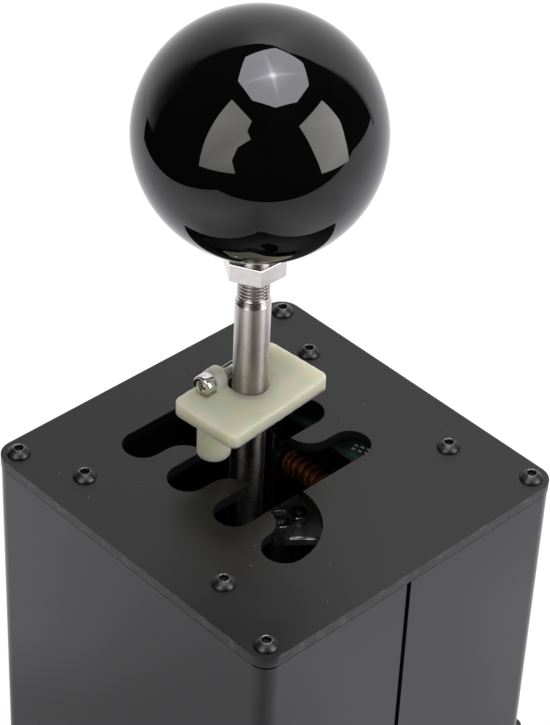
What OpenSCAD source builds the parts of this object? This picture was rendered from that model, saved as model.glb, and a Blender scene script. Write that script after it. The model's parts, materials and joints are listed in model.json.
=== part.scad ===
// Sim racing gear shifter: H-gate box with a ball-topped lever that tips
// fore and aft on a sprung side-sliding carriage.
// Millimetres. +Z up, +X to the driver's right, +Y forward. The origin is
// in the middle of the underside of the base plate.

/* [Box] */
// width and depth of the gate plate
plate_w = 100; // [99:0.5:102]
// thickness of the gate plate
plate_t = 3; // [2.5:0.1:3]
// corner radius of the gate plate
plate_r = 5.3; // [4:0.1:6]
// distance by which the covers stand in from the plate's edges
cover_in = 0.4; // [0.2:0.1:0.6]
// height of the covers between base and gate plate
cover_h = 107; // [106:0.5:108]
// open joint between the covers and the gate plate
joint = 0.7; // [0.4:0.1:0.9]
// sheet thickness of the covers
sheet = 1.5; // [1:0.1:1.6]
// outside bend radius of the covers
bend_r = 4.3; // [3.5:0.05:4.5]
// width of the seam between the two covers
seam = 1.5; // [0.8:0.1:2]
// position of the seam along Y
seam_y = -2.2; // [-6:0.1:2]
// thickness of the base plate
base_t = 3; // [3:0.1:4]
// width of the base plate's front and rear flanges
base_w = 73; // [72:0.5:80]
// depth of the base plate over its front and rear flanges
base_d = 136; // [134:1:140]
// spacing of the mounting holes along X
hole_dx = 56; // [50:1:56]
// spacing of the mounting holes along Y
hole_dy = 120; // [119:0.5:121]

/* [Gate] */
// distance between neighbouring lanes
pitch = 17; // [16.6:0.1:17]
// width of a lane
lane_w = 10.6; // [10.4:0.1:11]
// half length of the lanes
lane_half = 25.2; // [24:0.1:26]
// half width of the neutral channel at the finger tips
chan_half = 10.15; // [9:0.05:11]
// centre of the gate along Y
gate_y = 0.3; // [0:0.1:0.6]
// reach of the reverse pocket from its turning centre
pocket_r = 17.7; // [17:0.1:18]

/* [Lever] */
// shaft diameter
shaft_d = 8.9; // [8.6:0.05:9]
// length of the full-diameter shaft above the gate plate
shaft_up = 45.2; // [44:0.1:46]
// ball knob diameter
ball_d = 60; // [56:1:62]
// height of the ball centre above the gate plate
ball_up = 92.8; // [92.5:0.1:94]
// lever axis along X, in the second lane
lever_x = -10.6; // [-10.8:0.1:-10.4]
// lever axis along Y
lever_y = 0.5; // [0.3:0.1:0.7]
// height of the fore-aft pivot above the underside
pivot_z = 13; // [13:0.1:13.4]

/* [Selector] */
// height of the selector plate's top above the gate plate
sel_up = 19.6; // [19:0.1:22]
// thickness of the selector plate
sel_t = 4; // [3.8:0.1:5]
// turn of the selector plate about the shaft
sel_turn = 4.5; // [0:0.5:6]
// diameter of the locking pin
pin_d = 8.5; // [8:0.1:8.6]
// gap left between the pin and the gate plate
pin_gap = 4.9; // [4.9:0.1:6]

/* [Springs] */
// outside diameter of the centring springs
spring_d = 6.7; // [6.6:0.1:7.2]
// wire diameter of the centring springs
wire_d = 1.1; // [1:0.05:1.1]
// turns in each centring spring
spring_n = 15; // [13:1:15]

/* [Hidden] */
$fn = 64;
half = plate_w / 2;
cover_w = plate_w - 2 * cover_in;
cov_z0 = base_t;
cov_z1 = base_t + cover_h;
top_z = cov_z1 + plate_t;
scr = 45.25;
lane_x1 = lever_x - pitch;
lane_x3 = lever_x + pitch;
lane_x4 = lever_x + 2 * pitch;
inn_y = 38.4;
inn_yc = -0.2;
ball_z = top_z + ball_up;
board_z = top_z - 8;
board_t = 1.6;
rod_dy = 20;
rod_d = 8;
blk_x = 38.8;
spr_y = 42;
spr_z = top_z - 45;
ear_l = -37;
ear_r = 34;
arm_x = -1.5;
arm_z = top_z - 46;
nut_z0 = top_z + 54.4;
nut_t = 4.9;
neck_h = ball_up - ball_d / 2 + 0.5 - 54.4 - nut_t;
clr = 0.025;
lug_x = -6.1;
lug_z = 1.65;

// ---------- shared shapes ----------

module round_rect(w, d, r) {
  square([w, d - 2 * r], center = true);
  square([w - 2 * r, d], center = true);
  for (x = [-1, 1], y = [-1, 1])
    translate([x * (w / 2 - r), y * (d / 2 - r)]) circle(r);
}

module at_corners() {
  for (x = [-1, 1], y = [-1, 1]) translate([x * scr, y * scr, 0]) children();
}

module at_inner() {
  for (x = [lane_x1, lane_x4], y = [-1, 1])
    translate([x, inn_yc + y * inn_y, 0]) children();
}

// button-head socket screw, seat at z = 0, shank downwards
module button_screw(d, head_d, head_h, af, len) {
  r = head_d / 2;
  difference() {
    union() {
      rotate_extrude() polygon([[0, 0], [r, 0], [r, 0.25], [r - 0.15, 0.55], [r - 0.65, 1.1],
        [r - 1.2, 1.5], [r - 1.5, head_h - 0.04], [r - 1.56, head_h], [0, head_h]]);
      translate([0, 0, -len]) cylinder(d = d, h = len + 0.2);
    }
    translate([0, 0, head_h - 1.1]) cylinder(d = af / cos(30), h = 3, $fn = 6);
    translate([0, 0, head_h - 0.25]) cylinder(d1 = af, d2 = af + 0.7, h = 0.35);
  }
}

// socket cap screw, seat at z = 0, shank downwards
module cap_screw(d, head_d, head_h, af, len) {
  difference() {
    union() {
      cylinder(d = head_d, h = head_h - 0.35);
      translate([0, 0, head_h - 0.35])
        cylinder(d1 = head_d, d2 = head_d - 0.7, h = 0.35);
      translate([0, 0, -len]) cylinder(d = d, h = len + 0.2);
    }
    translate([0, 0, head_h - af * 0.75])
      cylinder(d = af / cos(30), h = af, $fn = 6);
  }
}

// countersunk socket screw, head flush at z = 0, shank upwards
module csk_screw(d, head_d, af, len) {
  difference() {
    union() {
      cylinder(d1 = head_d, d2 = d, h = (head_d - d) / 2);
      cylinder(d = d, h = len);
    }
    translate([0, 0, -0.1]) cylinder(d = af / cos(30), h = 1.2, $fn = 6);
  }
}

module csk_hole(d, head_d, h) {
  translate([0, 0, -0.1]) cylinder(d = d + 0.4, h = h + 0.2);
  translate([0, 0, -0.01])
    cylinder(d1 = head_d + 0.1, d2 = d + 0.1, h = (head_d - d) / 2);
}

// hex nut with its upper corners chamfered at 30 degrees
module hex_nut(d, af, t) {
  rise = af * 0.15;
  difference() {
    intersection() {
      cylinder(d = af / cos(30), h = t, $fn = 6);
      union() {
        cylinder(d = af * 1.35, h = t - rise);
        translate([0, 0, t - rise])
          cylinder(d1 = af * 0.96 + 2 * rise / tan(30), d2 = af * 0.96, h = rise);
      }
    }
    translate([0, 0, -1]) cylinder(d = d + 2 * clr, h = t + 2);
  }
}

// ---------- box ----------

module base_plate() color([0.10, 0.10, 0.11]) difference() {
  linear_extrude(base_t) {
    round_rect(cover_w, cover_w, bend_r);
    round_rect(base_w, base_d, 2.5);
  }
  at_corners() csk_hole(3, 6, base_t);
  for (x = [-1, 1], y = [-1, 1])
    translate([x * hole_dx / 2, y * hole_dy / 2, -1]) cylinder(d = 5.5, h = base_t + 2);
  for (x = [-1, 1], y = [-1, 1])
    translate([x * (blk_x + 4.1), lever_y + y * 8, 0]) csk_hole(4, 7.5, base_t);
  for (x = [-24, 21]) translate([x, spr_y, 0]) csk_hole(3, 6, base_t);
}

module cover_shell() {
  translate([0, 0, cov_z0]) linear_extrude(cover_h - joint) difference() {
    round_rect(cover_w, cover_w, bend_r);
    round_rect(cover_w - 2 * sheet, cover_w - 2 * sheet, bend_r - sheet);
  }
  for (z = [cov_z0, cov_z1 - sheet]) translate([0, 0, z]) linear_extrude(sheet)
    difference() {
      round_rect(cover_w - 0.4, cover_w - 0.4, bend_r);
      square([plate_w + 2, 82], center = true);
      square([82, plate_w + 2], center = true);
      for (x = [-1, 1], y = [-1, 1]) translate([x * scr, y * scr]) circle(d = 3.4);
    }
}

module front_cover() color([0.16, 0.16, 0.17]) {
  intersection() {
    cover_shell();
    translate([-half - 1, -half - 1, 0]) cube([plate_w + 2, half + 1 + seam_y - seam / 2, top_z]);
  }
  // a lap strip behind each seam
  for (s = [0, 1]) mirror([s, 0, 0]) translate([0, seam_y, cov_z0 + 21]) {
    translate([cover_w / 2 - sheet - 1.1, -8, 0]) cube([1, 13, cover_h - 22]);
    translate([cover_w / 2 - sheet - 1.1, -8, 0]) cube([1.6, 6.5, cover_h - 22]);
  }
}

module rear_cover() color([0.16, 0.16, 0.17]) difference() {
  intersection() {
    cover_shell();
    translate([-half - 1, seam_y + seam / 2, 0]) cube([plate_w + 2, half + 1 - seam_y, top_z]);
  }
  translate([14 - 4.9, half - 3, board_z - board_t - 3.9]) cube([9.8, 6, 4.4]);
}

module lane(x, y0, y1) {
  r = lane_w / 2;
  translate([x - r, y0 + r]) square([lane_w, y1 - y0 - 2 * r]);
  translate([x, y0 + r]) circle(r);
  translate([x, y1 - r]) circle(r);
}

// easing of a finger tip: sharp edge at x, rounded side towards s
module ease(x, y, s, t) {
  r = pitch - lane_w - 0.04;
  c = y + t * (r + 0.03);
  difference() {
    translate([s > 0 ? x - 1 : x - r - 1, t > 0 ? y - 1 : c])
      square([r + 2, r + 1.03]);
    translate([x, c]) circle(r);
  }
}

module gate_cut() {
  lo = gate_y - lane_half;
  hi = gate_y + lane_half;
  h = lane_w / 2;
  lane(lane_x1, lo, hi);
  lane(lever_x, lo, hi);
  lane(lane_x3, lo, hi);
  translate([lane_x1 - h, gate_y - chan_half]) square([2 * pitch + lane_w, 2 * chan_half]);
  ease(lever_x - h, gate_y - chan_half, -1, -1);
  ease(lane_x3 - h, gate_y - chan_half, -1, -1);
  ease(lane_x1 + h, gate_y + chan_half, 1, 1);
  ease(lever_x + h, gate_y + chan_half, 1, 1);
  // reverse pocket, turned about the tip of the third finger
  translate([lane_x3 + h, lo + 5.7]) {
    intersection() {
      difference() { circle(pocket_r); circle(pocket_r - 11.4); }
      translate([-0.5, -0.03]) square(pocket_r + 1);
    }
    translate([pocket_r - 5.7, 0]) circle(5.66);
  }
}

module gate_plate() color([0.20, 0.20, 0.21]) translate([0, 0, cov_z1]) difference() {
  linear_extrude(plate_t) difference() {
    round_rect(plate_w, plate_w, plate_r);
    gate_cut();
    for (x = [-1, 1], y = [-1, 1]) translate([x * scr, y * scr]) circle(d = 3.4);
    for (x = [lane_x1, lane_x4], y = [-1, 1])
      translate([x, inn_yc + y * inn_y]) circle(d = 3.4);
  }
}

module corner_posts() color([0.70, 0.70, 0.71]) at_corners() difference() {
  translate([0, 0, cov_z0 + sheet]) cylinder(d = 5.5, h = cover_h - 2 * sheet);
  translate([0, 0, cov_z0]) cylinder(d = 3 + 2 * clr, h = 14);
  translate([0, 0, cov_z1 - 14]) cylinder(d = 3 + 2 * clr, h = 14);
}

module corner_screws() color([0.05, 0.05, 0.06]) at_corners()
  translate([0, 0, top_z]) button_screw(3, 6, 1.75, 2.15, 14);

module base_screws() color([0.05, 0.05, 0.06]) at_corners() csk_screw(3, 6, 2, 14);

// ---------- sensor boards ----------

module inner_screws() color([0.05, 0.05, 0.06]) at_inner()
  translate([0, 0, top_z]) button_screw(3, 6, 1.75, 2.15, 12.6);

module board_spacers() color([0.72, 0.58, 0.30]) at_inner() difference() {
  translate([0, 0, board_z]) cylinder(d = 5.5, h = cov_z1 - board_z);
  translate([0, 0, board_z - 1]) cylinder(d = 3.2, h = cov_z1 - board_z + 2);
}

module board_nuts() color([0.72, 0.72, 0.73]) at_inner()
  translate([0, 0, board_z - board_t - 2.4]) hex_nut(3, 5.5, 2.4);

module board(y0, y1) translate([0, 0, board_z - board_t]) linear_extrude(board_t) difference() {
  translate([(lane_x1 + lane_x4) / 2, (y0 + y1) / 2]) round_rect(64, y1 - y0, 2);
  for (x = [lane_x1, lane_x4], y = [-1, 1]) translate([x, inn_yc + y * inn_y]) circle(d = 3.3);
}

module rear_board() color([0.05, 0.27, 0.16]) board(24, 46.5);

module front_board() color([0.05, 0.27, 0.16]) board(-46.5, -23.4);

// reflective sensor: a small moulded block with two round windows
module opto(x, y, s) translate([x - 2, y - 1.5, board_z - board_t - 3]) difference() {
  cube([4, 3, 3]);
  for (i = [1, 3]) translate([i, s > 0 ? -0.1 : 2.6, 1.5]) rotate([-90, 0, 0]) cylinder(d = 1.2, h = 0.5);
}

module rear_board_parts() color([0.06, 0.06, 0.07]) {
  for (x = [lane_x1, lever_x, lane_x3]) opto(x, 25.6, 1);
  translate([-6.5, 33, board_z - board_t - 1.2]) cube([9, 9, 1.2]);
  translate([-20, 34, board_z - board_t - 1]) cube([3.2, 5, 1]);
}

module front_board_parts() color([0.06, 0.06, 0.07]) {
  for (x = [lane_x1, lever_x, lane_x3, lane_x4]) opto(x, -25, -1);
  translate([-6, -42, board_z - board_t - 5]) difference() {
    cube([10, 5, 5]);
    translate([1, 1, -1]) cube([8, 3, 4]);
  }
}

module usb_socket() color([0.75, 0.75, 0.76])
  translate([14, half - 0.6, board_z - board_t - 1.63]) rotate([90, 0, 0]) difference() {
    linear_extrude(7.3) round_rect(8.94, 3.26, 1.6);
    translate([0, 0, -0.1]) linear_extrude(6.4) difference() {
      round_rect(8.34, 2.66, 1.32);
      square([6.7, 0.7], center = true);
    }
  }

// ---------- side slide ----------

module rod_block(s) translate([s * (blk_x + 4.1), lever_y, 0]) difference() {
  translate([0, 0, base_t]) union() {
    translate([-4.1, -29, 0]) cube([8.2, 58, pivot_z - base_t]);
    translate([-4.1, -24.5, 0]) cube([8.2, 49, pivot_z - base_t + 7]);
    for (y = [-1, 1]) translate([-4.1, y * rod_dy, pivot_z - base_t])
      rotate([0, 90, 0]) cylinder(r = 9, h = 8.2);
  }
  for (y = [-1, 1]) {
    translate([-6, y * rod_dy, pivot_z]) rotate([0, 90, 0]) cylinder(d = rod_d + 2 * clr, h = 12);
    translate([0, y * 8, 0]) cylinder(d = 4 + 2 * clr, h = 15);
  }
}

module rod_block_left() color([0.62, 0.63, 0.65]) rod_block(-1);

module rod_block_right() color([0.62, 0.63, 0.65]) rod_block(1);

module slide_rods() color([0.78, 0.78, 0.79]) for (y = [-1, 1])
  translate([-blk_x - 8.2, lever_y + y * rod_dy, pivot_z]) rotate([0, 90, 0])
    cylinder(d = rod_d, h = 2 * blk_x + 16.4);

module block_screws() color([0.05, 0.05, 0.06]) for (x = [-1, 1], y = [-1, 1])
  translate([x * (blk_x + 4.1), lever_y + y * 8, 0]) csk_screw(4, 7.5, 2.5, 14);

module spring_bracket() color([0.14, 0.14, 0.15]) difference() {
  union() {
    translate([ear_l - 3, spr_y - 5, base_t]) cube([ear_r - ear_l + 6, 10, 2]);
    for (x = [ear_l - 3, ear_r]) translate([x, spr_y, 0]) {
      translate([0, -5, base_t]) cube([3, 10, spr_z - base_t]);
      translate([0, 0, spr_z]) rotate([0, 90, 0]) cylinder(r = 5, h = 3);
    }
  }
  translate([ear_l - 5, spr_y, spr_z]) rotate([0, 90, 0])
    cylinder(d = 4 + 2 * clr, h = ear_r - ear_l + 10);
  for (x = [-24, 21]) translate([x, spr_y, 0]) cylinder(d = 3.2, h = 8);
}

module bracket_screws() color([0.05, 0.05, 0.06]) for (x = [-24, 21])
  translate([x, spr_y, 0]) csk_screw(3, 6, 2, 8);

module bracket_nuts() color([0.72, 0.72, 0.73]) for (x = [-24, 21])
  translate([x, spr_y, base_t + 2]) hex_nut(3, 5.5, 2.4);

module spring_rod() color([0.78, 0.78, 0.79]) difference() {
  translate([ear_l - 5, spr_y, spr_z]) rotate([0, 90, 0]) cylinder(d = 4, h = ear_r - ear_l + 10);
  for (x = [ear_l - 3.9, ear_r + 3.1]) translate([x, spr_y, spr_z]) rotate([0, 90, 0]) difference() {
    cylinder(d = 6, h = 0.8);
    translate([0, 0, -1]) cylinder(d = 3.2, h = 3);
  }
}

module rod_clips() color([0.30, 0.30, 0.32]) for (x = [ear_l - 3.8, ear_r + 3.2])
  translate([x, spr_y, spr_z]) rotate([0, 90, 0]) linear_extrude(0.6) difference() {
    circle(d = 8);
    circle(d = 3.25);
    translate([-6, -1.35]) square([6, 2.7]);
  }

// round wire wound along +X; the section across the axis is a curved lens
module coil(len) rotate([0, 90, 0]) {
  p = (len - wire_d) / (spring_n - wire_d / len);
  rm = (spring_d - wire_d) / 2;
  a = 180 * wire_d / p;
  translate([0, 0, wire_d / 2]) linear_extrude(len - wire_d, twist = -360 * (len - wire_d) / p, slices = 10 * spring_n, $fn = 10)
    polygon(concat(
      [for (i = [-2:2]) let (t = i / 2) (rm + wire_d / 2 * sqrt(1.0001 - t * t)) * [cos(a * t), sin(a * t)]],
      [for (i = [1:-1:-1]) let (t = i / 2) (rm - wire_d / 2 * sqrt(1 - t * t)) * [cos(a * t), sin(a * t)]]));
}

module spring_left() color([0.55, 0.24, 0.08])
  translate([ear_l, spr_y, spr_z]) coil(arm_x - 1.5 - ear_l);

module spring_right() color([0.55, 0.24, 0.08])
  translate([arm_x + 1.5, spr_y, spr_z]) coil(ear_r - arm_x - 1.5);

// ---------- carriage ----------

module carriage() color([0.13, 0.13, 0.14]) translate([lever_x, lever_y, 0]) difference() {
  union() {
    translate([-10, -29, pivot_z - 7.5]) cube([20, 58, 15]);
    translate([-10, -9, pivot_z - 7.5]) cube([20, 18, 16.5]);
  }
  translate([-6.2, -11, 0]) cube([12.4, 22, 40]);
  for (y = [-1, 1]) translate([-11, y * rod_dy, pivot_z]) rotate([0, 90, 0]) cylinder(d = 11 + 2 * clr, h = 22);
  translate([-11, 0, pivot_z]) rotate([0, 90, 0]) cylinder(d = 6 + 2 * clr, h = 22);
}

module rod_bushes() color([0.66, 0.50, 0.26]) for (y = [-1, 1])
  translate([lever_x - 10, lever_y + y * rod_dy, pivot_z]) rotate([0, 90, 0]) difference() {
    cylinder(d = 11, h = 20);
    translate([0, 0, -1]) cylinder(d = rod_d + 0.1, h = 22);
  }

module pivot_pin() color([0.78, 0.78, 0.79]) translate([lever_x - 10, lever_y, pivot_z])
  rotate([0, 90, 0]) cylinder(d = 6, h = 20);

module arm_pillars() color([0.55, 0.56, 0.58]) for (y = [19.3, 25.9]) difference() {
  translate([lever_x - 5.4, y, pivot_z + 7.5]) cylinder(d = y > 20 ? 5.6 : 7, h = arm_z - pivot_z - 7.5);
  translate([lever_x - 5.4, y, arm_z - 10]) cylinder(d = 3 + 2 * clr, h = 12);
}

module centring_arm() color([0.14, 0.14, 0.15]) difference() {
  union() {
    translate([0, 0, arm_z]) linear_extrude(2)
      polygon([[-24, 15.5], [-14.5, 15.5], [-6.5, 25], [-6.5, 28.5], [arm_x + 1.5, 35], [arm_x + 1.5, 37], [arm_x - 1.5, 37], [-12, 33], [-24, 33]]);
    translate([arm_x - 1.5, 34.5, spr_z - 5.5]) cube([3, spr_y - 34.5, 11]);
    translate([arm_x - 1.5, spr_y, spr_z]) rotate([0, 90, 0]) cylinder(r = 5.5, h = 3);
    translate([lever_x - 5.4, 19.3, arm_z]) cylinder(d = 7.4, h = 6.3);
  }
  translate([lever_x - 5.4, 19.3, arm_z - 1]) cylinder(d = 3.3, h = 9);
  translate([lever_x - 5.4, 19.3, arm_z + 2.5]) cylinder(d = 6, h = 9);
  translate([lever_x - 5.4, 25.9, arm_z - 1]) cylinder(d = 3.3, h = 4);
  translate([arm_x - 4, spr_y, spr_z]) rotate([0, 90, 0]) cylinder(d = 4.8, h = 8);
}

module arm_screws() color([0.42, 0.42, 0.43]) {
  translate([lever_x - 5.4, 19.3, arm_z + 2.5]) cap_screw(3, 5.5, 3, 2.5, 10);
  translate([lever_x - 5.4, 25.9, arm_z + 2]) cap_screw(3, 5.5, 3, 2.5, 9);
}

// ---------- lever ----------

module lever_hub() color([0.66, 0.67, 0.69]) translate([lever_x, lever_y, pivot_z]) difference() {
  union() {
    translate([-5.9, -7, -5]) cube([11.8, 14, 18]);
    rotate([0, 90, 0]) translate([0, 0, -5.9]) cylinder(r = 7, h = 11.8);
  }
  rotate([0, 90, 0]) translate([0, 0, -8]) cylinder(d = 9 + 2 * clr, h = 16);
  translate([0, 0, 5.6]) cylinder(d = 8 + 2 * clr, h = 20);
}

module hub_bush() color([0.66, 0.50, 0.26]) translate([lever_x - 5.9, lever_y, pivot_z])
  rotate([0, 90, 0]) difference() {
    cylinder(d = 9, h = 11.8);
    translate([0, 0, -1]) cylinder(d = 6.1, h = 14);
  }

module hub_nut() color([0.74, 0.74, 0.75]) translate([lever_x, lever_y, pivot_z + 13])
  rotate([0, 0, 30]) hex_nut(8, 13, 5);

module shaft() color([0.72, 0.71, 0.70]) translate([lever_x, lever_y, 0]) {
  z0 = pivot_z + 18;
  z1 = top_z + shaft_up;
  translate([0, 0, pivot_z + 6]) cylinder(d = 8, h = 12.5);
  translate([0, 0, z0]) cylinder(d = shaft_d, h = z1 - z0);
  translate([0, 0, z1]) rotate_extrude() polygon(concat(
    [[0, 0], [shaft_d / 2, 0], [3.92, 1.9]],
    [for (i = [0:5]) each [[3.35, 2.4 + 1.25 * i], [3.94, 2.85 + 1.25 * i], [3.94, 3.1 + 1.25 * i]]],
    [[3.94, 9.6], [4, 9.7], [4, 36], [3.4, 37], [0, 37]]));
}

module jam_nut() color([0.82, 0.80, 0.76]) translate([lever_x, lever_y, nut_z0])
  rotate([0, 0, -32]) hex_nut(8, 13.8, nut_t);

module knob_insert() color([0.80, 0.79, 0.77]) translate([lever_x, lever_y, nut_z0 + nut_t]) difference() {
  cylinder(d = 9.6, h = neck_h + 26);
  translate([0, 0, -1]) cylinder(d = 8 + 2 * clr, h = neck_h + 23);
  for (z = [3, 9, 15, 21]) translate([0, 0, neck_h + z]) difference() {
    cylinder(d = 12, h = 1);
    translate([0, 0, -1]) cylinder(d = 9, h = 3);
  }
}

module ball_knob() color([0.02, 0.02, 0.02]) translate([lever_x, lever_y, ball_z]) difference() {
  sphere(d = ball_d, $fn = 96);
  translate([-10, -10, -ball_d / 2 - 1]) cube([20, 20, 1.5]);
  translate([0, 0, -ball_d / 2]) cylinder(d = 9.6 + 2 * clr, h = 26.6);
}

// ---------- selector ----------

module on_lever() translate([lever_x, lever_y, top_z + sel_up]) rotate([0, 0, sel_turn]) children();

module selector_plate() color([0.74, 0.73, 0.62]) on_lever() difference() {
  union() {
    difference() {
      translate([0, 0, -sel_t]) linear_extrude(sel_t)
        translate([1.65, -1.2]) round_rect(20.9, 35, 2.4);
      translate([0, 0, -0.2]) cylinder(r = 6.9, h = 1);
    }
    for (y = [-8.2, 4.5]) translate([lug_x, y, 0]) {
      translate([-2.88, 0, -1]) cube([5.9, 3.7, lug_z + 1]);
      translate([0, 0, lug_z]) rotate([-90, 0, 0]) cylinder(r = 2.95, h = 3.7);
    }
    translate([0, -12.6, -sel_up + pin_gap]) cylinder(d = pin_d, h = sel_up - pin_gap - 1);
  }
  translate([0, 0, -sel_up]) cylinder(d = shaft_d + 0.12, h = 60);
  translate([-20, -4.5, -sel_up]) cube([20, 9, 60]);
  translate([lug_x, -20, lug_z]) rotate([-90, 0, 0]) cylinder(d = 3.2, h = 40);
  // seats for the clamp screw's head and nut
  translate([lug_x, -11.9, lug_z]) rotate([-90, 0, 0]) cylinder(d = 6.2, h = 3.7);
  translate([lug_x, 8.2, lug_z]) rotate([-90, 0, 0]) cylinder(d = 7, h = 3.2);
}

module clamp_screw() color([0.76, 0.76, 0.77]) on_lever()
  translate([lug_x, -8.2, lug_z]) rotate([90, 0, 0]) cap_screw(3, 5.5, 3, 2.5, 20);

module clamp_nut() color([0.76, 0.76, 0.77]) on_lever()
  translate([lug_x, 8.2, lug_z]) rotate([-90, 0, 0]) hex_nut(3, 5.5, 2.4);

base_plate();
front_cover();
rear_cover();
gate_plate();
corner_posts();
corner_screws();
base_screws();
inner_screws();
board_spacers();
board_nuts();
rear_board();
rear_board_parts();
front_board();
front_board_parts();
usb_socket();
rod_block_left();
rod_block_right();
slide_rods();
block_screws();
spring_bracket();
bracket_screws();
bracket_nuts();
spring_rod();
rod_clips();
spring_left();
spring_right();
carriage();
rod_bushes();
pivot_pin();
arm_pillars();
centring_arm();
arm_screws();
lever_hub();
hub_bush();
hub_nut();
shaft();
jam_nut();
knob_insert();
ball_knob();
selector_plate();
clamp_screw();
clamp_nut();
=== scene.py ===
import bpy
import json
import math
import random
import numpy as np
from mathutils import Matrix, Vector
from mathutils.geometry import delaunay_2d_cdt

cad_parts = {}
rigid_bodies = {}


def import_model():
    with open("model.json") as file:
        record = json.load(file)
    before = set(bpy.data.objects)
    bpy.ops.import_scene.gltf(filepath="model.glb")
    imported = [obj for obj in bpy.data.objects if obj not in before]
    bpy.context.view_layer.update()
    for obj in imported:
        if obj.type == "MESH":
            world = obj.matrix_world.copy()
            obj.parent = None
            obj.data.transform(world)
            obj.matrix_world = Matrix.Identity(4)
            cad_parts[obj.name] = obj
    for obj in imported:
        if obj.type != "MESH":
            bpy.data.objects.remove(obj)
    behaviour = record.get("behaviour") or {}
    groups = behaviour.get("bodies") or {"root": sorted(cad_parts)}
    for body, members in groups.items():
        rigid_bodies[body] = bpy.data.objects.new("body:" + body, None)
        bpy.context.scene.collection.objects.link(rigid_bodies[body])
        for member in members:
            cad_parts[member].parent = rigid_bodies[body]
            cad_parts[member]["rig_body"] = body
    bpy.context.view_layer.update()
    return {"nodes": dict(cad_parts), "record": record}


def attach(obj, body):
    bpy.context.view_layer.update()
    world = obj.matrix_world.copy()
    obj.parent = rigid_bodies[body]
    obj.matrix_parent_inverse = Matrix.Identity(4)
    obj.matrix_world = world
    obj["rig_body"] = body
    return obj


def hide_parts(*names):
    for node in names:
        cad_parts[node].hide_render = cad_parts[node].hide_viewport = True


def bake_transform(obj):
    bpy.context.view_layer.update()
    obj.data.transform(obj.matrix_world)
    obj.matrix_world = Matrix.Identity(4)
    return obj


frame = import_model()
NODES = frame["nodes"]
scene = bpy.context.scene
MM = 0.001

# ---------- shared places, in millimetres in the part's frame ----------
LX, LY = -10.6, 0.5          # lever axis
TOP = 113.0                  # top of the gate plate
BALL_Z, BALL_R = 205.8, 30.0
BOARD_Z, BOARD_T = 105.0, 1.6
SPR_Y, SPR_Z = 42.0, 68.0     # centring springs
ARM_Z = 69.0                 # top of the centring arm

# ---------- camera ----------
RIGHT = Vector((0.68387468, 0.72865592, 0.03709394))
DOWN = Vector((0.46963921, -0.40072898, -0.78667356))
AHEAD = Vector((-0.55834974, 0.55540690, -0.61625380))
cam_data = bpy.data.cameras.new("camera")
cam_data.lens = 129.985
cam_data.sensor_width = 36.0
cam_data.clip_start, cam_data.clip_end = 0.02, 50.0
cam = bpy.data.objects.new("camera", cam_data)
scene.collection.objects.link(cam)
basis = Matrix((RIGHT, -DOWN, -AHEAD)).transposed().to_4x4()
basis.translation = Vector((0.35266912, -0.35247561, 0.53569776))
cam.matrix_world = basis
scene.camera = cam
scene.view_settings.view_transform = "Standard"
scene.view_settings.look = "None"

# ---------- materials ----------


def grid(nt, kind, **values):
    n = nt.nodes.new(kind)
    for k, v in values.items():
        if k in n.inputs:
            n.inputs[k].default_value = v
        else:
            setattr(n, k, v)
    return n


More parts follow.
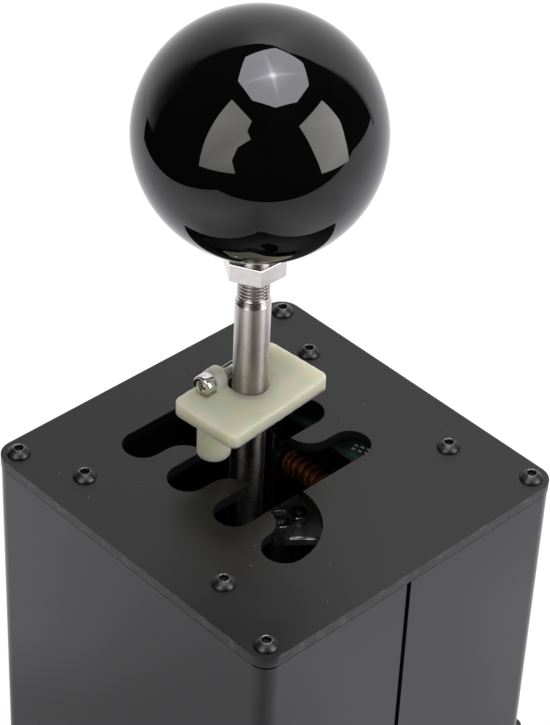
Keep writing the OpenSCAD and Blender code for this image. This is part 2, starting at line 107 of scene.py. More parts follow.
def finish(name, dark, light, scale=300.0, rough=(0.35, 0.45), rscale=900.0, bump=None, metal=0.0,
           stretch=(1, 1, 1), specks=None, flow=None, rim=None, walls=None, painted_low_shade=None, **const):
    """A procedural finish: mottled colour, uneven roughness, fine relief, and optional dust specks or flow marks."""
    m = bpy.data.materials.new(name)
    m.use_nodes = True
    nt = m.node_tree
    nt.nodes.clear()
    out = grid(nt, "ShaderNodeOutputMaterial")
    b = grid(nt, "ShaderNodeBsdfPrincipled")
    nt.links.new(b.outputs[0], out.inputs[0])
    b.inputs["Metallic"].default_value = metal
    for k, v in const.items():
        b.inputs[k.replace("_", " ")].default_value = v
    co = grid(nt, "ShaderNodeTexCoord")
    mp = grid(nt, "ShaderNodeMapping")
    mp.inputs["Scale"].default_value = stretch
    nt.links.new(co.outputs["Object"], mp.inputs["Vector"])

    def noise(sc, detail=4.0, rough_=0.55):
        n = grid(nt, "ShaderNodeTexNoise")
        n.inputs["Scale"].default_value = sc
        n.inputs["Detail"].default_value = detail
        n.inputs["Roughness"].default_value = rough_
        nt.links.new(mp.outputs["Vector"], n.inputs["Vector"])
        return n.outputs["Fac"]

    ramp = grid(nt, "ShaderNodeValToRGB")
    ramp.color_ramp.elements[0].position, ramp.color_ramp.elements[1].position = 0.3, 0.7
    ramp.color_ramp.elements[0].color = (*dark, 1)
    ramp.color_ramp.elements[1].color = (*light, 1)
    nt.links.new(noise(scale), ramp.inputs["Fac"])
    colour = ramp.outputs["Color"]
    if flow:
        wv = grid(nt, "ShaderNodeTexNoise")
        wv.inputs["Scale"].default_value = flow[0]
        wv.inputs["Detail"].default_value = 2.0
        wv.inputs["Distortion"].default_value = 1.2
        nt.links.new(mp.outputs["Vector"], wv.inputs["Vector"])
        mr = grid(nt, "ShaderNodeMapRange")
        mr.inputs["From Min"].default_value, mr.inputs["From Max"].default_value = 0.35, 0.65
        nt.links.new(wv.outputs["Fac"], mr.inputs["Value"])
        mx = grid(nt, "ShaderNodeMix", data_type="RGBA", blend_type="MIX")
        nt.links.new(mr.outputs["Result"], mx.inputs["Factor"])
        nt.links.new(colour, mx.inputs[6])
        mx.inputs[7].default_value = (*flow[1], 1)
        colour = mx.outputs[2]
    if specks:
        vo = grid(nt, "ShaderNodeTexVoronoi")
        vo.inputs["Scale"].default_value = specks[0]
        nt.links.new(mp.outputs["Vector"], vo.inputs["Vector"])
        size = grid(nt, "ShaderNodeMapRange")
        size.inputs["From Min"].default_value = specks[1]
        size.inputs["From Max"].default_value = specks[1] * 0.4
        nt.links.new(vo.outputs["Distance"], size.inputs["Value"])
        few = grid(nt, "ShaderNodeMath", operation="GREATER_THAN")
        few.inputs[1].default_value = specks[2]
        sep = grid(nt, "ShaderNodeSeparateColor")
        nt.links.new(vo.outputs["Color"], sep.inputs[0])
        nt.links.new(sep.outputs[0], few.inputs[0])
        mul = grid(nt, "ShaderNodeMath", operation="MULTIPLY")
        nt.links.new(size.outputs["Result"], mul.inputs[0])
        nt.links.new(few.outputs[0], mul.inputs[1])
        mx = grid(nt, "ShaderNodeMix", data_type="RGBA", blend_type="MIX")
        nt.links.new(mul.outputs[0], mx.inputs["Factor"])
        nt.links.new(colour, mx.inputs[6])
        mx.inputs[7].default_value = (*specks[3], 1)
        colour = mx.outputs[2]
    if painted_low_shade:
        # painted shade: darker downwards below a height, mottled by noise
        sep = grid(nt, "ShaderNodeSeparateXYZ")
        nt.links.new(co.outputs["Object"], sep.inputs[0])
        low = grid(nt, "ShaderNodeMapRange")
        low.inputs["From Min"].default_value, low.inputs["From Max"].default_value = painted_low_shade[1] * MM, painted_low_shade[0] * MM
        nt.links.new(sep.outputs[2], low.inputs["Value"])
        film = grid(nt, "ShaderNodeMapRange")
        film.inputs["From Min"].default_value, film.inputs["From Max"].default_value = 0.30, 0.60
        film.inputs["To Min"].default_value = 0.65
        nt.links.new(noise(painted_low_shade[3], 4.0, 0.6), film.inputs["Value"])
        mul = grid(nt, "ShaderNodeMath", operation="MULTIPLY")
        nt.links.new(low.outputs["Result"], mul.inputs[0])
        nt.links.new(film.outputs["Result"], mul.inputs[1])
        mx = grid(nt, "ShaderNodeMix", data_type="RGBA", blend_type="MIX")
        nt.links.new(mul.outputs[0], mx.inputs["Factor"])
        nt.links.new(colour, mx.inputs[6])
        mx.inputs[7].default_value = (*painted_low_shade[2], 1)
        colour = mx.outputs[2]
    if rim:
        # worn paint and a painted highlight along the outer edge of a square plate: a lighter patchy band
        sep = grid(nt, "ShaderNodeSeparateXYZ")
        nt.links.new(co.outputs["Object"], sep.inputs[0])
        ax = grid(nt, "ShaderNodeMath", operation="ABSOLUTE")
        ay = grid(nt, "ShaderNodeMath", operation="ABSOLUTE")
        nt.links.new(sep.outputs[0], ax.inputs[0])
        nt.links.new(sep.outputs[1], ay.inputs[0])
        far = grid(nt, "ShaderNodeMath", operation="MAXIMUM")
        nt.links.new(ax.outputs[0], far.inputs[0])
        nt.links.new(ay.outputs[0], far.inputs[1])
        band = grid(nt, "ShaderNodeMapRange")
        band.inputs["From Min"].default_value = (rim[0] - rim[1]) * MM
        band.inputs["From Max"].default_value = rim[0] * MM
        nt.links.new(far.outputs[0], band.inputs["Value"])
        patch = grid(nt, "ShaderNodeMapRange")
        patch.inputs["From Min"].default_value, patch.inputs["From Max"].default_value = rim[3]
        nt.links.new(noise(rim[4], 5.0, 0.65), patch.inputs["Value"])
        mul = grid(nt, "ShaderNodeMath", operation="MULTIPLY")
        nt.links.new(band.outputs["Result"], mul.inputs[0])
        nt.links.new(patch.outputs["Result"], mul.inputs[1])
        mx = grid(nt, "ShaderNodeMix", data_type="RGBA", blend_type="MIX")
        nt.links.new(mul.outputs[0], mx.inputs["Factor"])
        nt.links.new(colour, mx.inputs[6])
        mx.inputs[7].default_value = (*rim[2], 1)
        colour = mx.outputs[2]
    nt.links.new(colour, b.inputs["Base Color"])
    mr = grid(nt, "ShaderNodeMapRange")
    mr.inputs["From Min"].default_value, mr.inputs["From Max"].default_value = 0.3, 0.7
    mr.inputs["To Min"].default_value, mr.inputs["To Max"].default_value = rough
    nt.links.new(noise(rscale, 3.0), mr.inputs["Value"])
    dull = mr.outputs["Result"]
    if walls:
        # cut walls inside the plate are rougher than its face and carry painted shade: a darkened specular tint
        geo = grid(nt, "ShaderNodeNewGeometry")
        sep = grid(nt, "ShaderNodeSeparateXYZ")
        nt.links.new(geo.outputs["Normal"], sep.inputs[0])
        up = grid(nt, "ShaderNodeMath", operation="ABSOLUTE")
        nt.links.new(sep.outputs[2], up.inputs[0])
        side = grid(nt, "ShaderNodeMapRange")
        side.inputs["From Min"].default_value, side.inputs["From Max"].default_value = 0.85, 0.45
        nt.links.new(up.outputs[0], side.inputs["Value"])
        inner = grid(nt, "ShaderNodeMapRange")
        inner.inputs["From Min"].default_value, inner.inputs["From Max"].default_value = 0.0475, 0.0465
        nt.links.new(far.outputs[0], inner.inputs["Value"])
        mul = grid(nt, "ShaderNodeMath", operation="MULTIPLY")
        nt.links.new(side.outputs["Result"], mul.inputs[0])
        nt.links.new(inner.outputs["Result"], mul.inputs[1])
        mx = grid(nt, "ShaderNodeMix", data_type="FLOAT")
        nt.links.new(mul.outputs[0], mx.inputs[0])
        nt.links.new(dull, mx.inputs[2])
        mx.inputs[3].default_value = walls
        dull = mx.outputs[0]
        # painted shade on the walls: their specular tint drops to a quarter
        mx = grid(nt, "ShaderNodeMix", data_type="RGBA", blend_type="MIX")
        nt.links.new(mul.outputs[0], mx.inputs["Factor"])
        mx.inputs[6].default_value = (1, 1, 1, 1)
        mx.inputs[7].default_value = (0.25, 0.25, 0.25, 1)
        nt.links.new(mx.outputs[2], b.inputs["Specular Tint"])
    nt.links.new(dull, b.inputs["Roughness"])
    if bump:
        bp = grid(nt, "ShaderNodeBump")
        bp.inputs["Strength"].default_value = bump[1]
        bp.inputs["Distance"].default_value = bump[2] * MM
        nt.links.new(noise(bump[0], 2.0), bp.inputs["Height"])
        nt.links.new(bp.outputs["Normal"], b.inputs["Normal"])
    return m


MATS = {
    "powder_coat": finish("powder_coat", (0.0095, 0.0093, 0.0092), (0.0140, 0.0137, 0.0136), 120, (0.40, 0.48), 300,
                          bump=(900, 0.06, 0.02), specks=(260, 0.06, 0.96, (0.07, 0.07, 0.07)), IOR=1.5),
    "gate_coat": finish("gate_coat", (0.0020, 0.0019, 0.0018), (0.0036, 0.0034, 0.0033), 45, (0.30, 0.36), 90,
                        # walls: rougher slot walls with painted shade in their specular tint
                        bump=(700, 0.05, 0.02), specks=(430, 0.115, 0.93, (0.13, 0.13, 0.13)), IOR=1.48, walls=0.85,
                        # rim: worn paint with a painted edge highlight along the outer edge
                        rim=(49.95, 0.16, (0.05, 0.048, 0.046), (0.50, 0.68), 300)),
    "cover_paint": finish("cover_paint", (0.0070, 0.0070, 0.0078), (0.0095, 0.0095, 0.0106), 14, (0.19, 0.23), 12,
                          bump=(16, 0.05, 0.03), IOR=1.5),
    "bracket_paint": finish("bracket_paint", (0.012, 0.012, 0.013), (0.022, 0.022, 0.023), 300, (0.20, 0.36), 240,
                            bump=(420, 0.30, 0.05)),
    "steel": finish("steel", (0.46, 0.46, 0.47), (0.60, 0.60, 0.61), 300, (0.18, 0.30), 900, metal=1.0, stretch=(0.1, 1, 1)),
    "turned_steel": finish("turned_steel", (0.64, 0.603, 0.572), (0.76, 0.723, 0.686), 60, (0.29, 0.36), 60, metal=1.0,
                           # the lower shaft carries painted shade, ramping darker from 158 mm down to 124 mm
                           stretch=(1, 1, 3), painted_low_shade=(124.0, 158.0, (0.17, 0.165, 0.16), 500), Anisotropic=0.9, Anisotropic_Rotation=0.25),
    "cut_thread": finish("cut_thread", (0.50, 0.475, 0.445), (0.60, 0.57, 0.54), 120, (0.22, 0.30), 200, metal=1.0),
    "arm_steel": finish("arm_steel", (0.135, 0.135, 0.138), (0.240, 0.240, 0.243), 200, (0.22, 0.36), 160, metal=0.35,
                        bump=(330, 0.35, 0.06)),
    "rod_brown": finish("rod_brown", (0.24, 0.080, 0.026), (0.36, 0.120, 0.040), 400, (0.34, 0.46), 500, metal=0.3),
    "bright_steel": finish("bright_steel", (0.62, 0.61, 0.59), (0.74, 0.73, 0.71), 700, (0.12, 0.20), 900, metal=1.0,
                           bump=(1200, 0.08, 0.02)),
    "worn_steel": finish("worn_steel", (0.10, 0.10, 0.10), (0.26, 0.26, 0.255), 1400, (0.30, 0.45), 1500, metal=1.0,
                         bump=(1500, 0.2, 0.02)),
    "dark_steel": finish("dark_steel", (0.13, 0.13, 0.135), (0.22, 0.22, 0.225), 600, (0.28, 0.40), 900, metal=1.0,
                         bump=(1500, 0.2, 0.03)),
    "spring_steel": finish("spring_steel", (0.10, 0.10, 0.105), (0.17, 0.17, 0.175), 700, (0.30, 0.42), 900, metal=1.0),
    "black_oxide": finish("black_oxide", (0.050, 0.050, 0.052), (0.078, 0.078, 0.081), 700, (0.36, 0.44), 900, metal=1.0,
                          bump=(1400, 0.12, 0.02)),
    "brass": finish("brass", (0.52, 0.36, 0.14), (0.66, 0.48, 0.22), 300, (0.18, 0.30), 900, metal=1.0, stretch=(1, 1, 20)),
    "bronze": finish("bronze", (0.36, 0.22, 0.09), (0.50, 0.32, 0.14), 900, (0.35, 0.5), 1500, metal=1.0, bump=(2500, 0.3, 0.04)),
    "nickel": finish("nickel", (0.70, 0.665, 0.65), (0.78, 0.745, 0.73), 300, (0.20, 0.27), 400, metal=1.0,
                     bump=(500, 0.06, 0.02)),
    "circuit_board": finish("circuit_board", (0.021, 0.039, 0.030), (0.029, 0.054, 0.042), 300, (0.28, 0.38), 500,
                            bump=(600, 0.2, 0.03), IOR=1.5),
    "chip_black": finish("chip_black", (0.010, 0.010, 0.011), (0.018, 0.018, 0.019), 1500, (0.45, 0.6), 2000, bump=(3000, 0.3, 0.03)),
    "aluminium": finish("aluminium", (0.42, 0.43, 0.45), (0.56, 0.57, 0.59), 300, (0.28, 0.42), 900, metal=1.0, stretch=(6, 1, 1),
                        bump=(900, 0.12, 0.02)),
    "black_anodised": finish("black_anodised", (0.018, 0.018, 0.020), (0.030, 0.030, 0.033), 260, (0.38, 0.50), 700, metal=0.6,
                             bump=(1100, 0.15, 0.02)),
    "spring_orange": finish("spring_orange", (0.26, 0.075, 0.024), (0.42, 0.135, 0.046), 420, (0.20, 0.30), 700, metal=0.35),
    "carriage_black": finish("carriage_black", (0.010, 0.010, 0.011), (0.016, 0.016, 0.017), 700, (0.42, 0.55), 1200, bump=(1600, 0.3, 0.05)),
    "ball_black": finish("ball_black", (0.0010, 0.0010, 0.0011), (0.0018, 0.0018, 0.0020), 60, (0.012, 0.022), 90, IOR=1.52),
    "cream_plastic": finish("cream_plastic", (0.560, 0.512, 0.370), (0.595, 0.566, 0.442), 70, (0.46, 0.58), 200,
                            bump=(200, 0.08, 0.04), flow=(110, (0.515, 0.545, 0.408)), Subsurface_Weight=1.0,
                            Subsurface_Radius=(1.0, 0.92, 0.62), Subsurface_Scale=0.012, IOR=1.46, Specular_IOR_Level=0.30),
    "board_white": finish("board_white", (0.50, 0.50, 0.48), (0.66, 0.66, 0.64), 1500, (0.5, 0.6), 1500),
    "solder": finish("solder", (0.50, 0.50, 0.50), (0.68, 0.68, 0.67), 2500, (0.2, 0.35), 2500, metal=1.0, bump=(2500, 0.3, 0.03)),
}
SLOT = {s["node"]: s["material_slot"] for s in frame["record"]["subparts"]}


def paint(obj, name):
    if not obj.data.materials:
        obj.data.materials.append(MATS[name])
    for s in obj.material_slots:
        s.material = MATS[name]


for n, o in NODES.items():
    paint(o, SLOT[n])
paint(NODES["gate_plate"], "gate_coat")
paint(NODES["centring_arm"], "arm_steel")
paint(NODES["arm_screws"], "steel")
paint(NODES["spring_rod"], "rod_brown")
for n in ("rod_block_left", "rod_block_right"):
    paint(NODES[n], "black_anodised")


def soften(node, width, segments=2, angle=32):
    """Rounds the hard edges of a CAD node a little, as a real edge is broken."""
    o = NODES[node]
    w = o.modifiers.new("weld", "WELD")
    w.merge_threshold = 2e-6
    b = o.modifiers.new("edges", "BEVEL")
    b.width = width * MM
    b.segments = segments
    b.limit_method = "ANGLE"
    b.angle_limit = math.radians(angle)
    b.use_clamp_overlap = True
    b.harden_normals = True


# ---------- mesh helpers ----------


def mesh_object(name, verts, faces, material, smooth=True):
    me = bpy.data.meshes.new(name)
    me.from_pydata([tuple(v) for v in verts], [], faces)
    me.update()
    if smooth:
        me.shade_smooth()
    ob = bpy.data.objects.new(name, me)
    scene.collection.objects.link(ob)
    if material is not None:
        me.materials.append(material)
    return ob


def lathe(name, profile, centre, material, segments=128, wave=None, place=None, loop=False):
    """Turns a profile of (radius, height) millimetre pairs about a vertical axis; wave(r, z, turn) may reshape the radius.
    A third entry "hex" makes that ring a hexagon with the radius as half its width across flats."""
    verts, faces = [], []
    n = len(profile)
    for p in profile:
        r, z = p[0], p[1]
        for k in range(segments):
            a = 2 * math.pi * k / segments
            rr = wave(r, z, k / segments) if wave else r
            if len(p) > 2:
                rr = r / math.cos((a % (math.pi / 3)) - math.pi / 6)
            v = Vector((centre[0] + rr * math.cos(a), centre[1] + rr * math.sin(a), z))
            verts.append((place @ v if place else v) * MM)
    for i in range(n if loop else n - 1):
        j = (i + 1) % n
        for k in range(segments):
            k2 = (k + 1) % segments
            faces.append((i * segments + k, i * segments + k2, j * segments + k2, j * segments + k))
    if not loop:
        for i, flip in ((0, True), (n - 1, False)):
            if profile[i][0] > 1e-6:
                ring = [i * segments + k for k in range(segments)]
                faces.append(tuple(reversed(ring)) if flip else tuple(ring))
    return mesh_object(name, verts, faces, material)


def sharpen(ob, degrees=30):
    ob.data.set_sharp_from_angle(angle=math.radians(degrees))


def tube(name, points, radius, material, sides=14):
    """A round wire along a smooth path, with closed ends."""
    pts = [Vector(p) for p in points]
    verts, faces = [], []
    prev = None
    for i, p in enumerate(pts):
        t = (pts[min(i + 1, len(pts) - 1)] - pts[max(i - 1, 0)]).normalized()
        if prev is None:
            side = t.orthogonal().normalized()
        else:
            side = (prev - t * prev.dot(t)).normalized()
        prev = side
        up = t.cross(side)
        for k in range(sides):
            a = 2 * math.pi * k / sides
            verts.append((p + (side * math.cos(a) + up * math.sin(a)) * radius) * MM)
    n = len(pts)
    for i in range(n - 1):
        for k in range(sides):
            k2 = (k + 1) % sides
            faces.append((i * sides + k, i * sides + k2, (i + 1) * sides + k2, (i + 1) * sides + k))
    faces.append(tuple(reversed(range(sides))))
    faces.append(tuple(range((n - 1) * sides, n * sides)))
    ob = mesh_object(name, verts, faces, material)
    sharpen(ob, 60)
    return ob


def round_box(name, lo, hi, r, material, segments=3):
    """A box with rounded edges."""
    x0, y0, z0 = lo
    x1, y1, z1 = hi
    v = [(x * MM, y * MM, z * MM) for z in (z0, z1) for y in (y0, y1) for x in (x0, x1)]
    f = [(0, 2, 3, 1), (4, 5, 7, 6), (0, 1, 5, 4), (2, 6, 7, 3), (0, 4, 6, 2), (1, 3, 7, 5)]
    ob = mesh_object(name, v, f, material, smooth=False)
    b = ob.modifiers.new("edges", "BEVEL")
    b.width, b.segments, b.limit_method = r * MM, segments, "NONE"
    return ob


def join(name, objs):
    """One piece out of several meshes."""
    bpy.ops.object.select_all(action="DESELECT")
    dg = bpy.context.evaluated_depsgraph_get()
    for o in objs:
        if o.modifiers:
            me = bpy.data.meshes.new_from_object(o.evaluated_get(dg))
            o.modifiers.clear()
            o.data = me
    for o in objs:
        o.select_set(True)
    bpy.context.view_layer.objects.active = objs[0]
    bpy.ops.object.join()
    ob = objs[0]
    ob.name = name
    ob.data.name = name
    return ob


# ---------- ball knob ----------
prof = [(0.0, BALL_Z - 3.4), (4.83, BALL_Z - 3.4), (4.83, BALL_Z - 29.1), (5.15, BALL_Z - 29.5)]
a0 = math.asin(5.30 / BALL_R)
for i in range(150):
    a = a0 + (math.pi - a0) * i / 149
    prof.append((max(BALL_R * math.sin(a), 0.0), BALL_Z - BALL_R * math.cos(a)))
ball = lathe("ball_gloss", prof, (LX, LY), MATS["ball_black"], 224)
sharpen(ball, 30)
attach(ball, "lever"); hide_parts("ball_knob")

# ---------- shaft with its cut thread ----------
SHO = TOP + 45.2
prof = [(0.0, 19.0), (3.7, 19.0), (4.0, 19.4), (4.0, 30.9), (4.0, 31.0), (4.25, 31.0), (4.45, 31.3)]
prof += [(4.45, 31.3 + (SHO - 0.25 - 31.3) * i / 24) for i in range(1, 25)]
prof += [(4.445, SHO - 0.06), (4.42, SHO), (4.20, SHO + 0.70), (3.98, SHO + 1.4), (3.90, SHO + 1.7)]
z = SHO + 1.78
while z < TOP + 61.0:
    prof.append((3.97, z))
    z += 1.0 / 18
prof += [(3.97, z + 2.0), (3.97, SHO + 36.2), (3.3, SHO + 37.0), (0.0, SHO + 37.0)]


def thread(r, z, turn):
    lo, hi = SHO + 1.75, TOP + 60.5
    if not lo <= z <= hi:
        return r
    ph = ((z - lo) / 1.0 - turn) % 1.0
    tri = abs(ph - 0.5) * 2.0                      # 1 at the crest, 0 in the root
    cut = 1.0 - min(1.0, max(0.0, (tri - 0.06) / 0.70))
    ease = min(1.0, (z - lo) / 0.8, (hi - z) / 0.8)
    return r - 0.60 * cut * ease


shaft = lathe("shaft_threaded", prof, (LX, LY), MATS["turned_steel"], 120, thread)
shaft.data.materials.append(MATS["cut_thread"])
for f in shaft.data.polygons:
    if f.center.z > (SHO - 0.06) * MM:
        f.material_index = 1
sharpen(shaft, 11)
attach(shaft, "lever"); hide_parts("shaft")

# ---------- jam nut under the ball, chamfered at both ends ----------
NZ0, NZ1 = TOP + 54.4, TOP + 59.3
verts, faces, N = [], [], 180
for k in range(N):
    a = 2 * math.pi * k / N
    rc = 6.9 / math.cos((a % (math.pi / 3)) - math.pi / 6)
    t = a - math.radians(32)
    flat = rc - 0.14 - 0.12 * max(rc - 7.4, 0.0)
    for r, z in ((4.03, NZ0), (flat, NZ0), (rc, NZ0 + 0.12 + max(rc - 7.4, 0.0) * 0.20), (rc, NZ1 - 0.14 - max(rc - 7.4, 0.0) * 0.15),
                 (flat + 0.07, NZ1 - 0.04), (flat - 0.06, NZ1), (4.03, NZ1)):
        verts.append(Vector((LX + r * math.cos(t), LY + r * math.sin(t), z)) * MM)
for k in range(N):
    k2 = (k + 1) % N
    for i in range(7):
        j = (i + 1) % 7
        faces.append((k * 7 + i, k2 * 7 + i, k2 * 7 + j, k * 7 + j))
nut = mesh_object("jam_nut_chamfered", verts, faces, MATS["nickel"])
sharpen(nut, 14)
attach(nut, NODES["jam_nut"]["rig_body"]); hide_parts("jam_nut")

# ---------- centring springs ----------


def spring(name, x0, x1, node, fixed_low):
    rm, wire, turns = 2.8, 0.55, 15.0
    n = int(turns * 26)
    pts = []
    for i in range(n + 1):
        t = i / n
        k = t * turns
        # a closed turn at each end, evenly open between
        lead = min(1.0, k) * 1.15 + min(1.0, max(0.0, k - (turns - 1.0))) * 1.15
        open_ = (x1 - x0 - 2 * wire - 2.3) * min(max((k - 1.0) / (turns - 2.0), 0.0), 1.0)
        a = 2 * math.pi * k
        pts.append((x0 + wire + lead + open_, SPR_Y + rm * math.cos(a), SPR_Z + rm * math.sin(a)))
    ob = tube(name, pts, wire, MATS["spring_orange"], 10)
    if fixed_low:
        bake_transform(ob)
    else:
        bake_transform(ob)
    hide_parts(node)
    return ob


spring("spring_coil_left", -37.0, -3.0, "spring_left", True)
spring("spring_coil_right", 0.0, 34.0, "spring_right", False)

# ---------- clamp screw of the selector, with its thread and socket ----------
prof = [(0.0, -20.0), (1.15, -20.0), (1.45, -19.7)]
z = -19.6
while z < -0.25:
    prof.append((1.48, z))
    z += 0.5 / 8
prof += [(1.48, -0.2), (1.48, -0.02), (2.5, -0.02), (2.66, 0.06), (2.72, 0.2), (2.75, 0.3), (2.75, 2.62), (2.72, 2.78), (2.62, 2.92),
         (2.44, 3.0), (1.56, 3.0), (1.46, 2.97), (1.25, 2.86, "hex"), (1.25, 2.78, "hex"), (1.25, 1.3, "hex"), (0.9, 1.1), (0.0, 0.95)]


def fine_thread(r, z, turn):
    if not -19.6 <= z <= -0.25:
        return r
    tri = abs(((z + 19.6) / 0.5 - turn) % 1.0 - 0.5) * 2.0
    return r - 0.27 * (1.0 - min(1.0, max(0.0, (tri - 0.1) / 0.75))) * min(1.0, (z + 19.6) / 0.5, (-0.25 - z) / 0.5)


at = (Matrix.Translation((LX, LY, TOP + 19.6)) @ Matrix.Rotation(math.radians(4.5), 4, "Z")
      @ Matrix.Translation((-6.1, -8.2, 1.65)) @ Matrix.Rotation(math.radians(90), 4, "X"))
screw = lathe("clamp_screw_threaded", prof, (0, 0), MATS["bright_steel"], 72, fine_thread, at)
sharpen(screw, 34)
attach(screw, NODES["clamp_screw"]["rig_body"]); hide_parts("clamp_screw")

# ---------- worn rims round the sockets of the gate screws ----------
rims = []
rng = random.Random(5)
for cx, cy in [(sx * 45.25, sy * 45.25) for sx in (-1, 1) for sy in (-1, 1)] + [(x, -0.2 + s * 38.4) for x in (-27.6, 23.4) for s in (-1, 1)]:
    ph = [rng.uniform(0, 6.28) for _ in range(3)]

    def worn(r, z, turn, ph=ph):
        a = 2 * math.pi * turn
        return r + (0.035 * math.sin(3 * a + ph[0]) + 0.03 * math.sin(7 * a + ph[1]) + 0.02 * math.sin(11 * a + ph[2])) * (r - 1.3) * 3

    prof = [(1.20, TOP + 1.600), (1.21, TOP + 1.645), (1.335, TOP + 1.768), (1.45, TOP + 1.768), (1.52, TOP + 1.722), (1.53, TOP + 1.66), (1.44, TOP + 1.70), (1.34, TOP + 1.70)]
    rims.append(lathe("rim", prof, (cx, cy), MATS["worn_steel"], 60, worn, None, True))
rim = join("screw_rims", rims)
sharpen(rim, 50)
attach(rim, "housing")

# ---------- bright ground edge of the centring arm, and the worn rim of its screw cup ----------
edge, out = Vector((8.0, 9.5, 0)).normalized(), Vector((9.5, -8.0, 0)).normalized()
verts, faces = [], []
for i in range(13):
    t = 4.3 + 7.9 * i / 12
    ease = min(1.0, i / 1.5, (12 - i) / 1.5)
    for u, z in ((-0.80, 0.0), (-0.74, 0.38), (-0.40, 0.23), (-0.02, 0.02), (-0.02, -0.05)):
        p = Vector((-14.5, 15.5, ARM_Z)) + edge * t + out * u
        verts.append(Vector((p.x, p.y, p.z + z * (0.3 + 0.7 * ease))) * MM)
for i in range(12):
    for k in range(5):
        k2 = (k + 1) % 5
        faces.append((i * 5 + k, i * 5 + 5 + k, i * 5 + 5 + k2, i * 5 + k2))
faces += [(0, 1, 2, 3, 4), (64, 63, 62, 61, 60)]
strip = mesh_object("arm_ground_edge", verts, faces, MATS["bright_steel"])
sharpen(strip, 30)
bump_ = random.Random(9)
amp = [(n_, bump_.uniform(0.3, 1.0), bump_.uniform(0, 6.28)) for n_ in (3, 5, 8, 13, 17, 23)]


def lumpy(r, z, turn):
    w = sum(a * math.sin(n_ * 2 * math.pi * turn + q) for n_, a, q in amp)
    return r + 0.045 * w * (1.0 if z > ARM_Z + 4.3 else 0.3)


cup = lathe("cup_rim", [(3.35 + 0.30 * math.cos(q * math.pi / 6), ARM_Z + 4.32 + 0.22 * math.sin(q * math.pi / 6)) for q in range(12)],
            (-16.0, 19.3), MATS["steel"], 120, lumpy, None, True)
for ob in (strip, cup):
    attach(ob, NODES["centring_arm"]["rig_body"])

# ---------- plain printed marks on the rear board ---------------------
marks = []
for i in range(3):
    for j in range(2):
        x0, y0 = 1.2 + 1.7 * i - 0.5 * j, 26.2 + 1.5 * j + 0.6 * i
        marks.append(round_box("mark", (x0, y0, BOARD_Z - 0.02), (x0 + 1.0, y0 + 0.55, BOARD_Z + 0.04), 0.015, MATS["board_white"], 1))
mark = join("board_marks", marks)
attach(mark, "housing")

# ---------- edges of the CAD nodes ----------
soften("gate_plate", 0.22, 2)
soften("base_plate", 0.3, 2)
for n in ("centring_arm", "spring_bracket", "carriage", "lever_hub", "rod_block_left", "rod_block_right"):
    soften(n, 0.25, 2)
for n in ("corner_screws", "inner_screws", "arm_screws"):
    soften(n, 0.10, 2, 40)
# the moulded selector has soft edges all over
o = NODES["selector_plate"]
m = o.modifiers.new("skin", "REMESH")
m.mode, m.voxel_size, m.use_smooth_shade = "VOXEL", 0.25 * MM, True
m = o.modifiers.new("relax", "SMOOTH")
m.factor, m.iterations = 0.5, 12

# ---------- floor, studio light ----------


def stage_mesh(name, verts, faces, strength, values, tint=(1, 1, 1)):
    """The floor, a softbox or a backdrop: it glows by the values at its corners, and the floor takes light and shade too."""
    me = bpy.data.meshes.new(name)
    me.from_pydata(verts, [], faces)
    ob = bpy.data.objects.new(name, me)
    scene.collection.objects.link(ob)
    m = bpy.data.materials.new(name)
    m.use_nodes = True
    nt = m.node_tree
    nt.nodes.clear()
    out = grid(nt, "ShaderNodeOutputMaterial")
    e = grid(nt, "ShaderNodeEmission")
    e.inputs["Strength"].default_value = strength
    at = me.color_attributes.new("glow", "FLOAT_COLOR", "POINT")
    for i, v in enumerate(values):
        at.data[i].color = (v * tint[0], v * tint[1], v * tint[2], 1)
    node = grid(nt, "ShaderNodeVertexColor", layer_name="glow")
    nt.links.new(node.outputs["Color"], e.inputs["Color"])
    if name == "floor":
        # an even pale sheet to look at from any side; its uneven glow only lights the object
        seen = grid(nt, "ShaderNodeLightPath")
        even = grid(nt, "ShaderNodeMix", data_type="RGBA", blend_type="MIX")
        nt.links.new(seen.outputs["Is Camera Ray"], even.inputs["Factor"])
        nt.links.new(node.outputs["Color"], even.inputs[6])
        even.inputs[7].default_value = (0.95, 0.95, 0.955, 1)
        nt.links.new(even.outputs[2], e.inputs["Color"])
        d = grid(nt, "ShaderNodeBsdfDiffuse")
        d.inputs["Color"].default_value = (0.14, 0.14, 0.14, 1)
        both = grid(nt, "ShaderNodeAddShader")
        nt.links.new(e.outputs[0], both.inputs[0])
        nt.links.new(d.outputs[0], both.inputs[1])
        nt.links.new(both.outputs[0], out.inputs[0])
    else:
        nt.links.new(e.outputs[0], out.inputs[0])
        ob.visible_camera = False
        ob.visible_shadow = False
    me.materials.append(m)
    return ob


eye = Vector((LX, LY, BALL_Z)) * MM
# white table: it glows a little, as an overlit sheet does, and is less bright towards the front; close round the box
# its glow is lowered, a painted shadow of the object
RIM = [(-1.60, 0.60, 1.0), (-1.14, -0.39, 0.55), (-0.55, -0.21, 0.85), (-0.227, -0.349, 0.75), (0.11, -0.54, 0.52), (0.30, -0.28, 0.55),
       (0.62, 0.17, 0.68), (1.41, 1.27, 0.95), (-0.23, 3.17, 1.0), (-2.94, 1.81, 1.0)]
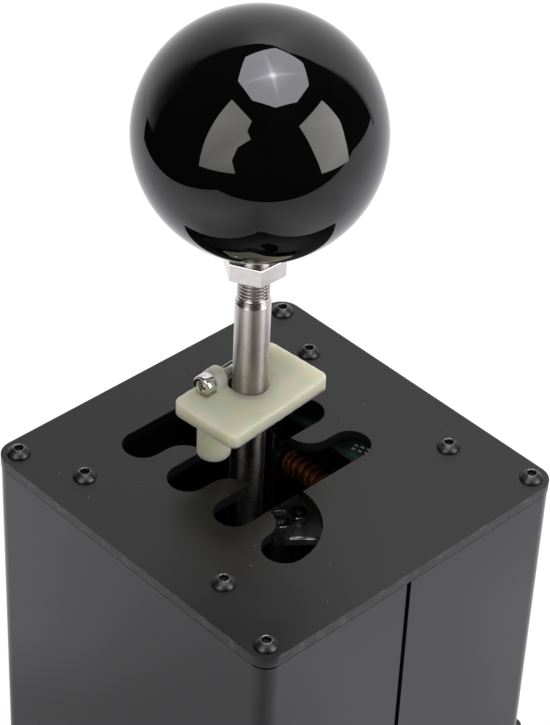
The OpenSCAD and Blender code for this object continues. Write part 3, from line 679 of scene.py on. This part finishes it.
# the inner points near the box glow less: a painted shadow of the object on the floor
FLOOR = RIM + [(0.0, 0.9, 1.0), (-0.13, -0.02, 1.0), (0.02, 0.09, 1.0), (0.09, 0.20, 1.0), (0.035, -0.215, 0.92), (0.10, -0.11, 0.34),
               (-0.125, -0.125, 0.82), (-0.10, -0.185, 0.85), (-0.070, -0.117, 0.62), (-0.038, -0.120, 0.48), (-0.062, -0.072, 0.44),
               (-0.044, -0.094, 0.42), (-0.088, -0.088, 0.78), (0.118, 0.052, 0.86), (0.098, 0.045, 0.86), (0.113, 0.028, 0.72),
               (0.084, 0.062, 0.70), (0.124, 0.124, 0.76), (0.114, 0.088, 0.78), (0.098, 0.108, 0.94)]
tri = delaunay_2d_cdt([Vector(q[:2]) for q in FLOOR], [], [list(range(len(RIM)))], 1, 1e-6)
stage_mesh("floor", [(q.x, q.y, -0.0003) for q in tri[0]], tri[2], 0.96, [FLOOR[k[0]][2] for k in tri[3]], (1.0, 0.99, 1.03))
# overhead octagonal softbox with the lamp showing through its cloth
oc = (0.073, 0.0115)
star = (0.0542, 0.0049)
pts, val, faces = [], [], []
NA, NR = 96, 16
for k in range(NA):
    a = 2 * math.pi * k / NA
    d = (math.cos(a), math.sin(a))
    reach = 1.0
    for j in range(8):
        n_ = math.radians(6.4 + 22.5 + 45 * j)
        nd = math.cos(n_) * d[0] + math.sin(n_) * d[1]
        if nd > 1e-6:
            gap = 0.161 * math.cos(math.pi / 8) - (math.cos(n_) * (star[0] - oc[0]) + math.sin(n_) * (star[1] - oc[1]))
            reach = min(reach, gap / nd)
    for i in range(NR):
        r = reach * ((i + 0.15) / (NR - 0.85)) ** 1.6
        pts.append((eye.x + star[0] + r * d[0], eye.y + star[1] + r * d[1], eye.z + 0.30))
        off = min(abs(((a - math.radians(65) + math.pi / 4) % (math.pi / 2)) - math.pi / 4) * r, 1.0)
        val.append(0.86 + 1.5 * math.exp(-(r / 0.013) ** 2) + 0.34 * math.exp(-(r / 0.05) ** 2)
                   + 0.50 * math.exp(-(off / 0.007) ** 2) * max(0.0, 1.0 - r / 0.15))
for k in range(NA):
    k2 = (k + 1) % NA
    for i in range(NR - 1):
        faces.append((k * NR + i, k2 * NR + i, k2 * NR + i + 1, k * NR + i + 1))
faces.append(tuple(k * NR for k in reversed(range(NA))))
stage_mesh("softbox_over", pts, faces, 6.6, val, (0.94, 0.93, 1.0))


def card(name, dirs, dist, strength, tint=(1, 1, 1)):
    pts = [tuple(eye + Vector(d[:3]).normalized() * dist) for d in dirs]
    return stage_mesh(name, pts, [tuple(range(len(pts)))], strength, [d[3] for d in dirs], tint)


card("softbox_left", [(0.005, -0.576, 0.817, 3.2), (0.426, -0.59, 0.686, 3.0), (0.444, -0.693, 0.568, 2.8), (0.534, -0.704, 0.469, 2.7),
                      (0.417, -0.846, 0.333, 3.0), (0.39, -0.912, 0.131, 2.9), (0.455, -0.889, -0.054, 2.0), (0.205, -0.976, -0.076, 2.2),
                      (-0.073, -0.992, -0.1, 2.1), (-0.067, -0.955, 0.29, 3.4), (-0.039, -0.805, 0.592, 3.5)], 1.1, 1.06, (1.0, 0.985, 0.96))
card("softbox_right", [(0.626, 0.458, 0.631, 4.2), (0.742, 0.587, 0.324, 5.2), (0.806, 0.584, 0.093, 4.7), (0.798, 0.575, -0.18, 3.3),
                       (0.974, 0.156, -0.163, 3.5), (0.985, 0.067, 0.161, 4.4), (0.827, -0.039, 0.561, 3.4)], 1.1, 1.04, (1.0, 0.99, 0.97))
# tall white backdrop curving round behind the object
BACK = [(72, 30, (0.25, 0.2, 0.1, 0.1, 0.1)), (77, 46, (1.0, 0.9, 0.85, 0.85, 0.8)), (98, 62, (1.0, 0.93, 0.92, 1.05, 1.2)), (120, 62.5, (1.0, 0.98, 1.1, 1.5, 1.75)),
        (141, 62, (1.0, 0.88, 0.88, 1.25, 1.65)), (163, 60, (1.0, 0.78, 0.62, 0.65, 0.65)), (188, 48, (0.95, 0.7, 0.5, 0.4, 0.15)),
        (196, 40, (0.8, 0.45, 0.25, 0.14, 0.04)), (204, 34, (0.4, 0.2, 0.10, 0.05, 0.02)), (214, 30, (0.05, 0.04, 0.03, 0.02, 0.01))]
pts, val, faces = [], [], []
for az, el, vs in BACK:
    top = eye.z + 1.2 * math.tan(math.radians(el))
    for t, v in zip((0.0, 0.25, 0.5, 0.8, 1.0), vs):
        pts.append((eye.x + 1.2 * math.cos(math.radians(az)), eye.y + 1.2 * math.sin(math.radians(az)), top * t))
        val.append(v)
for i in range(len(BACK) - 1):
    for j in range(4):
        faces.append((5 * i + j, 5 * i + 5 + j, 5 * i + 6 + j, 5 * i + 1 + j))
stage_mesh("backdrop", pts, faces, 1.0, val)
# a pale background in every view, and a dark room for the reflections
world = bpy.data.worlds.new("room")
scene.world = world
world.use_nodes = True
nt = world.node_tree
nt.nodes.clear()
wo = grid(nt, "ShaderNodeOutputWorld")
dim = grid(nt, "ShaderNodeBackground")
dim.inputs["Color"].default_value = (0.010, 0.010, 0.010, 1)
pale = grid(nt, "ShaderNodeBackground")
pale.inputs["Color"].default_value = (1.0, 1.0, 1.0, 1)
pick = grid(nt, "ShaderNodeMixShader")
path = grid(nt, "ShaderNodeLightPath")
nt.links.new(path.outputs["Is Camera Ray"], pick.inputs[0])
nt.links.new(dim.outputs[0], pick.inputs[1])
nt.links.new(pale.outputs[0], pick.inputs[2])
nt.links.new(pick.outputs[0], wo.inputs[0])
